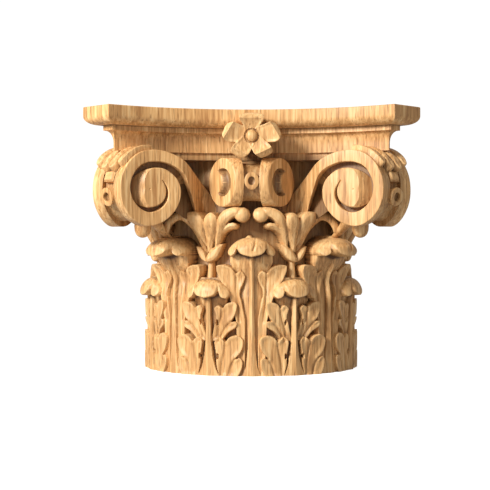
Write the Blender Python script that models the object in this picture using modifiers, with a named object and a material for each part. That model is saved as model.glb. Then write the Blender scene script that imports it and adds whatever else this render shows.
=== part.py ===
"""Carved oak half capital: two rows of acanthus, corner scrolls and a hollow-sided abacus.

One carved block. Metres, +Z up. The front looks along -Y and the flat back is at +Y. The axis of
the column lies in the back plane, and the origin is under the middle of the bounding box. The
carving repeats round the column, so each motif is made once, copied to its other places and joined
to the bell and the abacus, and the whole is trimmed flat above, below and behind.
"""

import math

import bmesh
import bpy
import numpy as np

MM = 0.001

# Overall sizes
WIDTH = 302 * MM
HEIGHT = 243.5 * MM
DEPTH = WIDTH / 2
AXIS_Y = DEPTH / 2

# Abacus: the moulded slab on top, with four hollow sides and blunt horns
HORN_FACE = 36.8 * MM
SIDE_HOLLOW = 44.4 * MM
TOP_BAND = 8.5 * MM
OVOLO_DROP = 8 * MM
OVOLO_REACH = 11.5 * MM
FILLET_DROP = 4.5 * MM
FILLET_STEP = 2 * MM
CAVETTO_DROP = 10.5 * MM
CAVETTO_REACH = 6 * MM
FASCIA_DROP = 7 * MM
LIP_STEP = 3 * MM
LIP_DROP = 6.5 * MM
LIP_HORN_STEP = 30 * MM
SIDE_STEPS = 8
HORN_X = DEPTH - HORN_FACE / math.sqrt(2)
SIDE_RADIUS = (HORN_X ** 2 + SIDE_HOLLOW ** 2) / (2 * SIDE_HOLLOW)
SIDE_CENTRE = DEPTH - SIDE_HOLLOW + SIDE_RADIUS
HORN_REACH = (DEPTH + HORN_X) / math.sqrt(2)
FASCIA_BOTTOM = HEIGHT - TOP_BAND - OVOLO_DROP - FILLET_DROP - CAVETTO_DROP - FASCIA_DROP

# Bell: the turned body behind the leaves, with its height as shares of the fascia's height
BELL_RADIUS = 95 * MM
BELL_STEPS = 40
BELL_PROFILE = ((0.0, 1.0), (0.35, 1.0), (0.52, 0.95), (0.72, 0.905), (0.92, 0.865), (1.03, 0.865))

# Corner scrolls: a pair back to back under each horn
SCROLL_RADIUS = 35 * MM
SCROLL_EYE_ALONG = 94 * MM
SCROLL_RIM = 12.2 * MM
SCROLL_SINK = 5.5 * MM
SCROLL_CORE_DEPTH = 48 * MM
SCROLL_CORE_SHARE = 0.8
SCROLL_STEP = 20
SCROLL_STEM_REACH = 1.7
SCROLL_STEM_DROP = 0.85
SCROLL_STEM_TOP = 0.1
STEM_SINK = 24 * MM
STEM_START = 30 * MM
STEM_RUN = 28 * MM
RING_WIDE = 8 * MM
RING_TALL = 10 * MM
RING_HOLE = 0.5
RING_REACH = 179 * MM

# The band of a scroll: (degrees past the top, share of the scroll's radius) of its two edges
BAND_OUTER = (
    (-92, 1.54), (-68, 1.30), (-30, 1.085), (0, 1.0), (45, 0.885), (90, 0.84), (135, 0.885),
    (175, 0.963), (220, 0.88), (265, 0.845), (300, 0.735), (335, 0.60), (366, 0.506), (395, 0.463),
    (450, 0.483), (540, 0.469), (600, 0.474), (666, 0.409),
)
BAND_INNER = (
    (-92, 1.12), (-56, 0.94), (-30, 0.80), (0, 0.69), (50, 0.583), (110, 0.537), (180, 0.60),
    (230, 0.56), (265, 0.505), (306, 0.409),
)

# Centre scrolls: a small pair in the middle of each side, turned well away from the front
HELIX_RADIUS = 22.3 * MM
HELIX_REACH = 122 * MM
HELIX_GAP = 14.8 * MM
HELIX_RIM = 10.2 * MM
HELIX_TURN = math.radians(56)
HELIX_DROP = 5.5 * MM
HELIX_SHARE = 0.78
HELIX_HOLE = 0.62
HELIX_EYE_SINK = 1 * MM
KNOT_WIDE = 6.6 * MM
KNOT_TALL = 8 * MM
KNOT_HOLE = 0.6
KNOT_REACH = 117 * MM

# Rosette: five petals on the middle of each side of the abacus
ROSETTE_RADIUS = 26 * MM
ROSETTE_REACH = 126 * MM
ROSETTE_RISE = 13.7 * MM
ROSETTE_BOSS = 6.5 * MM
ROSETTE_NOTCH = 0.62
ROSETTE_LOBE = 0.36
ROSETTE_DISH = 5 * MM
ROSETTE_LIP = 4 * MM

# Leaves: (share of the leaf's height sideways, share upward), half outlines from the middle line
LOWER_HEIGHT = 89 * MM
LOWER_BODY = ((0.19, 0.90), (0.20, 0.80), (0.17, 0.66), (0.16, 0.45), (0.18, 0.22), (0.24, -0.06))
LOWER_RIB = ((0.022, 0.80), (0.025, 0.50), (0.045, 0.25), (0.065, 0.12), (0.115, -0.06))
LOWER_CAP = (
    (0.0, 1.0), (0.09, 0.985), (0.165, 0.935), (0.215, 0.87), (0.20, 0.81), (0.15, 0.81),
    (0.12, 0.868), (0.09, 0.825), (0.045, 0.805), (0.0, 0.80),
)
LOWER_LEAFLETS = (
    ((0.075, 0.24), (0.06, 0.34), (0.095, 0.40), (0.14, 0.39), (0.183, 0.348), (0.235, 0.40), (0.315, 0.425),
     (0.39, 0.385), (0.39, 0.29), (0.30, 0.175), (0.35, 0.19), (0.39, 0.15), (0.38, 0.065), (0.34, -0.06),
     (0.13, -0.06), (0.09, 0.10)),
    ((0.055, 0.43), (0.075, 0.52), (0.083, 0.60), (0.063, 0.69), (0.095, 0.73), (0.15, 0.697), (0.20, 0.748),
     (0.275, 0.77), (0.33, 0.73), (0.317, 0.645), (0.257, 0.562), (0.32, 0.55), (0.27, 0.475), (0.17, 0.40),
     (0.09, 0.37)),
)
UPPER_HEIGHT = 127 * MM
UPPER_BODY = ((0.165, 0.885), (0.165, 0.835), (0.13, 0.765), (0.082, 0.69), (0.078, 0.62), (0.085, -0.05))
UPPER_RIB = ((0.017, 0.87), (0.017, 0.30), (0.045, 0.08), (0.07, -0.05))
UPPER_CAP = (
    (0.0, 1.0), (0.065, 0.99), (0.12, 0.955), (0.158, 0.905), (0.155, 0.87), (0.125, 0.868),
    (0.095, 0.91), (0.07, 0.877), (0.035, 0.86), (0.0, 0.856),
)
UPPER_LEAFLETS = (
    ((0.14, 0.52), (0.165, 0.59), (0.19, 0.637), (0.225, 0.685), (0.25, 0.735), (0.25, 0.797), (0.20, 0.803),
     (0.15, 0.787), (0.113, 0.742), (0.085, 0.77), (0.05, 0.75), (0.045, 0.71), (0.065, 0.65), (0.07, 0.55),
     (0.07, -0.05), (0.10, -0.05), (0.10, 0.40)),
)
LEAF_RADIUS = 100 * MM
LEAF_BODY = 4 * MM
LEAFLET_OUT = 10 * MM
LEAFLET_STEP = 0.8 * MM
LOWER_FORWARD = 1.5 * MM
LEAF_RIB_OUT = 9 * MM
LOWER_CAP_OUT = 19 * MM
UPPER_CAP_OUT = 27 * MM
CAP_SHOULDER = 0.5
SINK = 4 * MM

# Stalks between the leaves, with outlines in shares of the fascia's height
STALK_RADIUS = 3.3 * MM
STALK_OUT = 14 * MM
STEM_FOOT = 0.40
STEM_TOP = 0.53
BALL_RADIUS = 6.8 * MM
BALL_ALONG = 31.4 * MM
BALL_HEIGHT = 147.7 * MM
BLADE_STEP = 0.07
CALYX = ((-0.076, 0.58), (-0.044, 0.57), (-0.018, 0.537), (0.025, 0.58), (0.06, 0.587),
         (0.054, 0.57), (0.04, 0.543), (0.011, 0.513), (-0.018, 0.513), (-0.044, 0.526))
BLADES = (
    ((-0.014, 0.59), (-0.039, 0.603), (-0.076, 0.647), (-0.115, 0.717), (-0.11, 0.733),
     (-0.071, 0.734), (-0.046, 0.712), (-0.034, 0.675)),
    ((-0.028, 0.67), (-0.031, 0.70), (-0.015, 0.727), (0.0, 0.727), (0.025, 0.711), (0.028, 0.68),
     (0.023, 0.638), (0.01, 0.56), (-0.02, 0.56)),
    ((-0.005, 0.56), (0.02, 0.65), (0.03, 0.69), (0.045, 0.725), (0.075, 0.748), (0.15, 0.75),
     (0.15, 0.72), (0.117, 0.712), (0.082, 0.69), (0.059, 0.647), (0.049, 0.604), (0.035, 0.57)),
    ((0.04, 0.60), (0.05, 0.65), (0.09, 0.685), (0.13, 0.68), (0.137, 0.66), (0.11, 0.653),
     (0.082, 0.64), (0.058, 0.60)),
    ((-0.05, 0.63), (-0.085, 0.718), (-0.117, 0.74), (-0.15, 0.735), (-0.188, 0.70), (-0.197, 0.665),
     (-0.19, 0.64), (-0.172, 0.647), (-0.16, 0.677), (-0.135, 0.708), (-0.105, 0.712), (-0.08, 0.68),
     (-0.055, 0.60)),
)
BUD_RADIUS = 9.5 * MM
BUD_REACH = 141 * MM
BUD_DROP = 68 * MM
TIP_RADIUS = 11 * MM
TIP_NECK = 6 * MM
TIP_REACH = 118 * MM
TIP_LEAN = 12 * MM
TIP_DROP = 49 * MM
TIP_SHARE = 0.88
TIP_SIDES = 10
DRAPE = ((0.0, 0.0), (0.12, 0.02), (0.24, 0.22), (0.36, 0.16), (0.5, 0.4), (0.52, 1.0))
DRAPE_WIDTH = 34 * MM
DRAPE_HEIGHT = 22 * MM
DRAPE_BACK = 11 * MM
DRAPE_DEEP = 40 * MM
DRAPE_EDGE = 3 * MM
DRAPE_SINK = 1 * MM

LEAF_TURN = math.radians(22.5)
TRIANGLES = 9500
CORNER_TURN = math.radians(45)


def polar(radius, turn, z):
    """A point by its distance from the axis and its turn from the front towards +X."""
    return (radius * math.sin(turn), AXIS_Y - radius * math.cos(turn), z)


def bell_radius(z):
    heights, radii = zip(*BELL_PROFILE)
    return BELL_RADIUS * float(np.interp(z / FASCIA_BOTTOM, heights, radii))


def on_bell(turn, side=1):
    """Place (along, z, out): an arc length at the leaves, a height and how far it stands off the bell."""
    def place(along, z, out):
        return polar(bell_radius(z) + out, turn + side * along / LEAF_RADIUS, z)
    return place


def on_side(along, z, inset):
    """Place (along, z, inset) on the hollow front: arc length from its middle, and depth behind it."""
    turn = along / SIDE_RADIUS
    reach = SIDE_RADIUS + inset
    return (reach * math.sin(turn), AXIS_Y - SIDE_CENTRE + reach * math.cos(turn), z)


def on_corner(across, z, reach):
    """Place (across, z, reach) square to the corner's diagonal, at a distance from the axis."""
    x, y, z = polar(reach, CORNER_TURN, z)
    return (x + across * math.cos(CORNER_TURN), y + across * math.sin(CORNER_TURN), z)


def new_object(name, mesh):
    thing = bpy.data.objects.new(name, mesh)
    collection.objects.link(thing)
    return thing


def loft(name, rings):
    """A closed solid through rings of equal point counts, with flat ends."""
    bm = bmesh.new()
    rows = [[bm.verts.new(point) for point in ring] for ring in rings]
    for low, high in zip(rows, rows[1:]):
        for i in range(len(low)):
            j = (i + 1) % len(low)
            bm.faces.new((low[i], low[j], high[j], high[i]))
    bm.faces.new(rows[0])
    bm.faces.new(rows[-1])
    return finished(name, bm)


def finished(name, bm):
    """Make an object of a closed mesh, in triangles that face outwards."""
    bmesh.ops.triangulate(bm, faces=bm.faces)
    bmesh.ops.recalc_face_normals(bm, faces=bm.faces)
    mesh = bpy.data.meshes.new(name)
    bm.to_mesh(mesh)
    bm.free()
    return new_object(name, mesh)


def relief(name, outline, levels, place):
    """A flat outline raised through levels of (share of its size, distance), then put in place."""
    points = np.array(outline)
    middle = points.mean(axis=0)
    bm = bmesh.new()
    rows = []
    for share, distance in levels:
        ring = middle + (points - middle) * share
        rows.append([bm.verts.new((u, v, distance)) for u, v in ring])
    for low, high in zip(rows, rows[1:]):
        for i in range(len(low)):
            j = (i + 1) % len(low)
            bm.faces.new((low[i], low[j], high[j], high[i]))
    bm.faces.new(rows[0])
    bm.faces.new(rows[-1])
    bmesh.ops.triangulate(bm, faces=bm.faces)
    for vert in bm.verts:
        vert.co = place(*vert.co)
    return finished(name, bm)


def relief_ring(name, outer, inner, front, back, place):
    """A flat ring between two outlines, raised from back to front, then put in place."""
    bm = bmesh.new()
    loops = ((outer, back), (outer, front), (inner, front), (inner, back))
    rows = [[bm.verts.new(place(u, v, distance)) for u, v in loop] for loop, distance in loops]
    for low, high in zip(rows, rows[1:] + rows[:1]):
        for i in range(len(low)):
            j = (i + 1) % len(low)
            bm.faces.new((low[i], low[j], high[j], high[i]))
    return finished(name, bm)


def whole(half, scale):
    """The full outline from its right half, which runs down from the middle line."""
    right = [(u * scale, v * scale) for u, v in half]
    left = [(-u, v) for u, v in reversed(right) if u > 0]
    return right + left


def mirrored(outline):
    return [(-u, v) for u, v in reversed(outline)]


def abacus_ring(inset, z, horn_inset):
    """The abacus's plan at a height: four hollow sides, joined by the blunt horns."""
    reach = SIDE_RADIUS + inset
    end = CORNER_TURN + math.asin((HORN_REACH - horn_inset - SIDE_CENTRE / math.sqrt(2)) / reach)
    ring = []
    for quarter in range(4):
        for turn in np.linspace(-end, end, SIDE_STEPS + 1):
            x, out = reach * math.sin(turn), SIDE_CENTRE - reach * math.cos(turn)
            for _ in range(quarter):
                x, out = out, -x
            ring.append((x, AXIS_Y - out, z))
    return ring


def abacus():
    """Band, ovolo, fillet, cavetto, fascia and the bell's lip, from the top down."""
    levels = [(0, HEIGHT + SINK), (0, HEIGHT - TOP_BAND)]
    z = HEIGHT - TOP_BAND
    for turn in np.radians((30, 60, 90)):
        inset = OVOLO_REACH * (1 - math.cos(turn))
        levels.append((inset, z - OVOLO_DROP * math.sin(turn)))
    z -= OVOLO_DROP
    inset = OVOLO_REACH + FILLET_STEP
    levels += [(inset, z), (inset, z - FILLET_DROP)]
    z -= FILLET_DROP
    for turn in np.radians((0, 30, 60, 90)):
        levels.append((inset + FILLET_STEP / 2 + CAVETTO_REACH * math.sin(turn),
                       z - CAVETTO_DROP * (1 - math.cos(turn))))
    inset += FILLET_STEP / 2 + CAVETTO_REACH
    levels.append((inset, FASCIA_BOTTOM))
    rings = [abacus_ring(inset, z, inset) for inset, z in levels]
    inset += LIP_STEP
    for z in (FASCIA_BOTTOM, FASCIA_BOTTOM - LIP_DROP):
        rings.append(abacus_ring(inset, z, inset + LIP_HORN_STEP))
    return [loft("abacus", rings)]


def bell():
    """The turned body: its profile runs from the axis at the top to the axis at the bottom."""
    heights, radii = zip(*reversed(BELL_PROFILE))
    points = [(0, heights[0] * FASCIA_BOTTOM)]
    points += [(r * BELL_RADIUS, h * FASCIA_BOTTOM) for h, r in zip(heights, radii)]
    points[-1] = (points[-1][0], -SINK)
    points.append((0, -SINK))
    mesh = bpy.data.meshes.new("bell")
    verts = [(x, 0, z) for x, z in points]
    mesh.from_pydata(verts, [(i, i + 1) for i in range(len(verts) - 1)], [])
    thing = new_object("bell", mesh)
    screw = thing.modifiers.new("turn", "SCREW")
    screw.steps = screw.render_steps = BELL_STEPS
    screw.use_merge_vertices = True
    screw.merge_threshold = 1e-5
    bake(thing)
    bm = bmesh.new()
    bm.from_mesh(thing.data)
    bmesh.ops.translate(bm, verts=bm.verts, vec=(0, AXIS_Y, 0))
    bmesh.ops.remove_doubles(bm, verts=bm.verts, dist=1e-6)
    bpy.data.objects.remove(thing)
    return [finished("bell", bm)]


def leaf(name, turn, height, forward, body, rib, cap, cap_out, leaflets):
    """One acanthus leaf: a thin body, a rib, pairs of lobed leaflets and the rolled-over tip."""
    place = on_bell(turn)
    pieces = [
        relief(name + "_body", whole(body, height), ((1, -SINK), (1, LEAF_BODY)), place),
        relief(name + "_rib", whole(rib, height), ((1, -SINK), (0.9, LEAF_RIB_OUT)), place),
        relief(name + "_cap", whole(cap, height),
               ((1, -SINK), (1, CAP_SHOULDER * cap_out), (0.84, 0.82 * cap_out), (0.45, cap_out)), place),
    ]
    for number, half in enumerate(leaflets):
        right = [(u * height, v * height) for u, v in half]
        for outline in (right, mirrored(right)):
            out = LEAFLET_OUT + forward - number * LEAFLET_STEP
            levels = ((1, -SINK), (1, 0.75 * out), (0.86, out))
            pieces.append(relief("%s_leaflet_%d" % (name, number), outline, levels, place))
    return pieces


def stalk():
    """A thin stalk, its cup, and five blades that fan out below the scrolls."""
    place = on_bell(LEAF_TURN, -1)
    scale = FASCIA_BOTTOM
    pieces = []
    foot, top = STEM_FOOT * scale, STEM_TOP * scale
    stem = [(-STALK_RADIUS, foot), (STALK_RADIUS, foot), (STALK_RADIUS, top), (-STALK_RADIUS, top)]
    pieces.append(relief("stem", stem, ((1, -SINK), (1, 0.6 * STALK_OUT), (0.7, 0.8 * STALK_OUT)), place))
    for number, blade in enumerate((CALYX,) + BLADES):
        outline = [(u * scale, v * scale) for u, v in blade]
        out = STALK_OUT * (1.2 - BLADE_STEP * number)
        pieces.append(relief("blade_%d" % number, outline, ((1, -SINK), (1, 0.7 * out), (0.8, out)), place))
    pieces.append(sphere("ball", BALL_RADIUS, place(BALL_ALONG, BALL_HEIGHT, STALK_OUT)))
    return pieces


def sphere(name, radius, centre, segments=10):
    bm = bmesh.new()
    bmesh.ops.create_uvsphere(bm, u_segments=segments, v_segments=segments // 2 + 1, radius=radius)
    bmesh.ops.translate(bm, verts=bm.verts, vec=centre)
    return finished(name, bm)


def band_outline(radius, first):
    """The scroll's band as one closed outline: along its outer edge to the eye and back inside."""
    outline = []
    for edge, step in ((BAND_OUTER, SCROLL_STEP), (BAND_INNER, -SCROLL_STEP)):
        turns, shares = zip(*edge)
        count = round((turns[-1] - first) / abs(step))
        sweep = np.linspace(first, turns[-1], count + 1)
        if step < 0:
            sweep = sweep[-2::-1]
        for turn in sweep:
            share = float(np.interp(turn, turns, shares))
            outline.append((radius * share * math.sin(math.radians(turn)),
                            radius * share * math.cos(math.radians(turn))))
    return outline


def corner_scroll():
    """The front scroll of a horn: a band with its stem, on a sunk core."""
    eye = (SCROLL_EYE_ALONG, FASCIA_BOTTOM - SCROLL_RADIUS)

    def place(u, v, inset):
        sink = STEM_SINK * min(1, max(0, (-u - STEM_START) / STEM_RUN))
        return on_side(eye[0] + u, eye[1] + v, inset + sink)

    turns, shares = zip(*BAND_OUTER)
    core = []
    for turn in range(-80, 221, SCROLL_STEP):
        share = float(np.interp(turn, turns, shares)) * SCROLL_RADIUS * SCROLL_CORE_SHARE
        core.append((share * math.sin(math.radians(turn)), share * math.cos(math.radians(turn))))
    reach, drop = SCROLL_STEM_REACH * SCROLL_RADIUS, SCROLL_STEM_DROP * SCROLL_RADIUS
    core += [(-0.44 * reach, -drop), (-reach, -drop), (-reach, SCROLL_STEM_TOP * SCROLL_RADIUS)]
    return [
        relief("core", core, ((1, SCROLL_CORE_DEPTH), (1, SCROLL_SINK)), place),
        relief("band", band_outline(SCROLL_RADIUS, BAND_OUTER[0][0]), ((1, SCROLL_RIM), (1, 0)), place),
    ]


def corner_trims():
    """The ring and the draped leaf between a corner's scrolls, the bud below and the tip that bears them."""
    top = FASCIA_BOTTOM + DRAPE_SINK
    drape = [(u * DRAPE_WIDTH, top - (1 - v) * DRAPE_HEIGHT) for u, v in DRAPE]
    drape += mirrored(drape[1:])
    reach = HORN_REACH - DRAPE_BACK
    levels = ((1, reach - DRAPE_DEEP), (1, reach - DRAPE_EDGE), (0.8, reach))
    z = FASCIA_BOTTOM - SCROLL_RADIUS
    oval = [(RING_WIDE * math.cos(t), RING_TALL * math.sin(t)) for t in np.linspace(0, math.tau, 13)[:-1]]
    outer, inner = [[(share * u, z + share * v) for u, v in oval] for share in (1, RING_HOLE)]
    tip = []
    ends = ((TIP_SHARE * UPPER_HEIGHT, 0, TIP_RADIUS), (FASCIA_BOTTOM - TIP_DROP, TIP_LEAN, TIP_NECK))
    for z, lean, radius in ends:
        x, y, _ = polar(TIP_REACH + lean, CORNER_TURN, z)
        tip.append([(x + radius * math.cos(t), y + radius * math.sin(t), z)
                    for t in np.linspace(0, math.tau, TIP_SIDES + 1)[:-1]])
    return [
        relief("drape", drape, levels, on_corner),
        relief_ring("ring", outer, inner, RING_REACH, RING_REACH - RING_TALL, on_corner),
        sphere("bud", BUD_RADIUS, polar(BUD_REACH, CORNER_TURN, FASCIA_BOTTOM - BUD_DROP)),
        loft("tip", tip),
    ]


def centre_scroll():
    """The right one of the small pair: a disc turned from the front, its rim and the shared drum."""
    z = FASCIA_BOTTOM - HELIX_DROP - HELIX_RADIUS
    start = (HELIX_GAP, HELIX_REACH)
    aim = (math.cos(HELIX_TURN), -math.sin(HELIX_TURN))

    def place(u, v, back):
        along = HELIX_RADIUS + u
        return (start[0] + along * aim[0] - back, AXIS_Y - start[1] - along * aim[1], z + v)

    circle = [(HELIX_RADIUS * math.cos(t), HELIX_RADIUS * math.sin(t))
              for t in np.linspace(0, 2 * math.pi, 20, endpoint=False)]
    hole = [(HELIX_HOLE * u, HELIX_HOLE * v) for u, v in circle]
    small = [(HELIX_SHARE * u, HELIX_SHARE * v) for u, v in circle]
    eye = [(0.3 * HELIX_RADIUS + 0.5 * u, 0.5 * v) for u, v in circle]
    return [
        relief("drum", small, ((1, 2.5 * HELIX_GAP), (1, 0.6 * HELIX_RIM)), place),
        relief_ring("rim", circle, hole, 0, HELIX_RIM, place),
        relief("eye", eye, ((1, 1.5 * HELIX_RIM), (1, HELIX_EYE_SINK)), place),
    ]


def rosette():
    """Five petals and a boss, standing on the middle of the abacus's front."""
    z = FASCIA_BOTTOM + ROSETTE_RISE
    outline = []
    for turn in np.linspace(0, 2 * math.pi, 40, endpoint=False):
        lobe = abs(math.cos(2.5 * turn))
        reach = ROSETTE_RADIUS * (ROSETTE_NOTCH + ROSETTE_LOBE * lobe ** 0.6)
        outline.append((reach * math.sin(turn), z + reach * math.cos(turn)))

    def place(u, v, out):
        return (u, AXIS_Y - out, v)

    back = DEPTH - SIDE_HOLLOW - OVOLO_REACH - 3 * CAVETTO_REACH
    lip = ROSETTE_REACH - ROSETTE_LIP
    boss = [(ROSETTE_BOSS * math.cos(t), z + ROSETTE_BOSS * math.sin(t))
            for t in np.linspace(0, math.tau, 13)[:-1]]
    crown = ((1, back + ROSETTE_BOSS), (1, ROSETTE_REACH - 0.5 * ROSETTE_LIP), (0.6, ROSETTE_REACH))
    return [relief("petals", outline, ((1, back), (1, lip), (0.2, lip - ROSETTE_DISH)), place),
            relief("boss", boss, crown, place)]


def knot():
    """The oval ring on the waist between the two centre scrolls."""
    middle = FASCIA_BOTTOM - HELIX_DROP - HELIX_RADIUS
    oval = [(KNOT_WIDE * math.cos(t), KNOT_TALL * math.sin(t)) for t in np.linspace(0, math.tau, 15)[:-1]]
    outer, inner = [[(share * u, middle + share * v) for u, v in oval] for share in (1, KNOT_HOLE)]

    def place(u, v, out):
        return (u, AXIS_Y - out, v)

    return [relief_ring("knot", outer, inner, KNOT_REACH, KNOT_REACH - KNOT_TALL, place)]


def bake(thing):
    """Replace an object's mesh by what its modifiers make of it."""
    graph = bpy.context.evaluated_depsgraph_get()
    mesh = bpy.data.meshes.new_from_object(thing.evaluated_get(graph))
    thing.modifiers.clear()
    thing.data = mesh


def boolean(body, tool, operation):
    modifier = body.modifiers.new("join", "BOOLEAN")
    modifier.operation = operation
    modifier.solver = "MANIFOLD"
    modifier.object = tool
    bake(body)
    bpy.data.objects.remove(tool)


def thin(body):
    """Drop the specks that the joins leave inside, then thin the triangles where the form is flat."""
    bm = bmesh.new()
    bm.from_mesh(body.data)
    unseen = set(bm.verts)
    largest = set()
    while unseen:
        group, front = set(), [unseen.pop()]
        while front:
            vert = front.pop()
            group.add(vert)
            for edge in vert.link_edges:
                other = edge.other_vert(vert)
                if other in unseen:
                    unseen.discard(other)
                    front.append(other)
        if len(group) > len(largest):
            largest = group
    bmesh.ops.delete(bm, geom=[vert for vert in bm.verts if vert not in largest])
    bmesh.ops.triangulate(bm, faces=bm.faces, quad_method="SHORT_EDGE", ngon_method="EAR_CLIP")
    bm.to_mesh(body.data)
    bm.free()
    thinning = body.modifiers.new("thin", "DECIMATE")
    thinning.ratio = min(1, TRIANGLES / len(body.data.polygons))
    thinning.use_collapse_triangulate = True
    bake(body)


def trim(body, margin):
    """Cut the solid flat above, below and behind, at a margin outside its real faces."""
    bm = bmesh.new()
    bmesh.ops.create_cube(bm, size=1)
    for vert in bm.verts:
        vert.co.x *= 2 * WIDTH
        vert.co.y = AXIS_Y + margin - (0.5 - vert.co.y) * 2 * DEPTH
        vert.co.z = (vert.co.z + 0.5) * (HEIGHT + 2 * margin) - margin
    boolean(body, finished("trim", bm), "INTERSECT")


def merged(pieces):
    """One solid made of several that overlap."""
    body = pieces[0]
    for piece in pieces[1:]:
        boolean(body, piece, "UNION")
    return body


def copies(body, swaps, mirrors):
    """The solid at its other places: swapped across the corner's diagonal, mirrored left to right."""
    made = []
    for swap in swaps:
        for mirror in mirrors:
            bm = bmesh.new()
            bm.from_mesh(body.data)
            for vert in bm.verts:
                x, out = vert.co.x, AXIS_Y - vert.co.y
                if swap:
                    x, out = out, x
                vert.co.x = -x if mirror else x
                vert.co.y = AXIS_Y - out
            made.append(finished(body.name, bm))
    return made


def oak():
    material = bpy.data.materials.new("oak")
    material.use_nodes = True
    shader = material.node_tree.nodes["Principled BSDF"]
    shader.inputs["Base Color"].default_value = (0.60, 0.36, 0.14, 1)
    shader.inputs["Roughness"].default_value = 0.5
    shader.inputs["Metallic"].default_value = 0
    return material


for thing in list(bpy.data.objects):
    bpy.data.objects.remove(thing)
collection = bpy.data.collections.new("half_capital")
bpy.context.scene.collection.children.link(collection)

capital = merged(bell() + abacus())
capital.name = "capital"

lower = leaf("lower", LEAF_TURN, LOWER_HEIGHT, LOWER_FORWARD, LOWER_BODY, LOWER_RIB, LOWER_CAP, LOWER_CAP_OUT,
             LOWER_LEAFLETS)
eighth = merged(lower + stalk() + corner_scroll() + centre_scroll())
front, corner = [leaf("upper", turn, UPPER_HEIGHT, 0, UPPER_BODY, UPPER_RIB, UPPER_CAP, UPPER_CAP_OUT,
                      UPPER_LEAFLETS) for turn in (0, CORNER_TURN)]
front = merged(front + rosette() + knot())
corner = merged(corner + corner_trims())
for piece in copies(eighth, (False, True), (False, True)) + copies(corner, (False,), (False, True)):
    boolean(capital, piece, "UNION")
for piece in copies(front, (False,), (False,)) + copies(front, (True,), (False, True)):
    boolean(capital, piece, "UNION")
for master in (eighth, corner, front):
    bpy.data.objects.remove(master)
trim(capital, SINK / 2)
thin(capital)
trim(capital, 0)
capital.data.materials.clear()
capital.data.materials.append(oak())
capital.data.shade_smooth()
capital.data.set_sharp_from_angle(angle=math.radians(30))
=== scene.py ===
"""A carved oak half capital: the block's bell and abacus, then its leaves, stalks, scrolls and rosettes."""

import math

import bpy
import numpy as np
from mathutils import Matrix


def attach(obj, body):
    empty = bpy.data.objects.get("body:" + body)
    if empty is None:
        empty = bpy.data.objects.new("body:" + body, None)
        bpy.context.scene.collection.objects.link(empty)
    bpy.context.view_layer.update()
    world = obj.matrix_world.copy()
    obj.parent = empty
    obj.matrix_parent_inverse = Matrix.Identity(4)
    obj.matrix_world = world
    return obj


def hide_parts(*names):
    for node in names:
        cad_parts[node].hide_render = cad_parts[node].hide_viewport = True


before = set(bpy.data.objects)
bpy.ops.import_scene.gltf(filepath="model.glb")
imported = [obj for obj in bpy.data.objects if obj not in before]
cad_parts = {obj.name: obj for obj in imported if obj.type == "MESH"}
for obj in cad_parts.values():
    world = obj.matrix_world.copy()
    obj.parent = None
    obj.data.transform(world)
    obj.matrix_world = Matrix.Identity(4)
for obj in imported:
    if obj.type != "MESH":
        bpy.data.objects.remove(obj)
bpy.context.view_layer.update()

MM = 0.001

# Bell
# The turned body of the capital, as the block is roughed out before any leaf is cut. It is the ground
# that shows between the leaves, darkened all over by painted shade, and it narrows a little towards the
# abacus.
WIDTH = 302 * MM
HEIGHT = 243.5 * MM
AXIS_Y = WIDTH / 4
FASCIA_BOTTOM = 205 * MM
BELL_RADIUS = 95 * MM
BELL_PROFILE = ((0.0, 1.0), (0.35, 1.0), (0.52, 0.95), (0.72, 0.905), (0.92, 0.865), (1.03, 0.865))
OAK_DARK = (0.43, 0.205, 0.068, 1)
OAK_MIDDLE = (0.66, 0.360, 0.135, 1)
OAK_LIGHT = (0.84, 0.540, 0.245, 1)
OAK_PORE = (0.25, 0.105, 0.032, 1)
# Painted shade: the colour that deep places are darkened towards
PAINTED_SHADE_COLOUR = (0.085, 0.032, 0.010, 1)
RING_SHARE = 0.6
PORE_DARK = 0.62
PAINTED_SHADE_STRENGTH = 0.95
PAINTED_HIGHLIGHT = 0.35
BUMP_DEPTH = 0.35 * MM
SHARP_EDGE = math.radians(38)
BELL_ROWS = 60
BELL_COLUMNS = 121
BELL_SHADE = 0.5
HALF_TURN = math.pi / 2
WALL_STEP = 0.02 * MM
made = []


def bell_radius(z):
    """The turned profile's radius at a height, in straight steps between its named points."""
    heights, radii = zip(*BELL_PROFILE)
    return BELL_RADIUS * np.interp(z / FASCIA_BOTTOM, heights, radii)


def polar(radius, turn, z):
    """Points at a distance from the column's axis, turned from the front towards +X."""
    radius, turn, z = np.broadcast_arrays(radius, turn, z)
    return np.stack([radius * np.sin(turn), AXIS_Y - radius * np.cos(turn), z], axis=-1)


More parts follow.
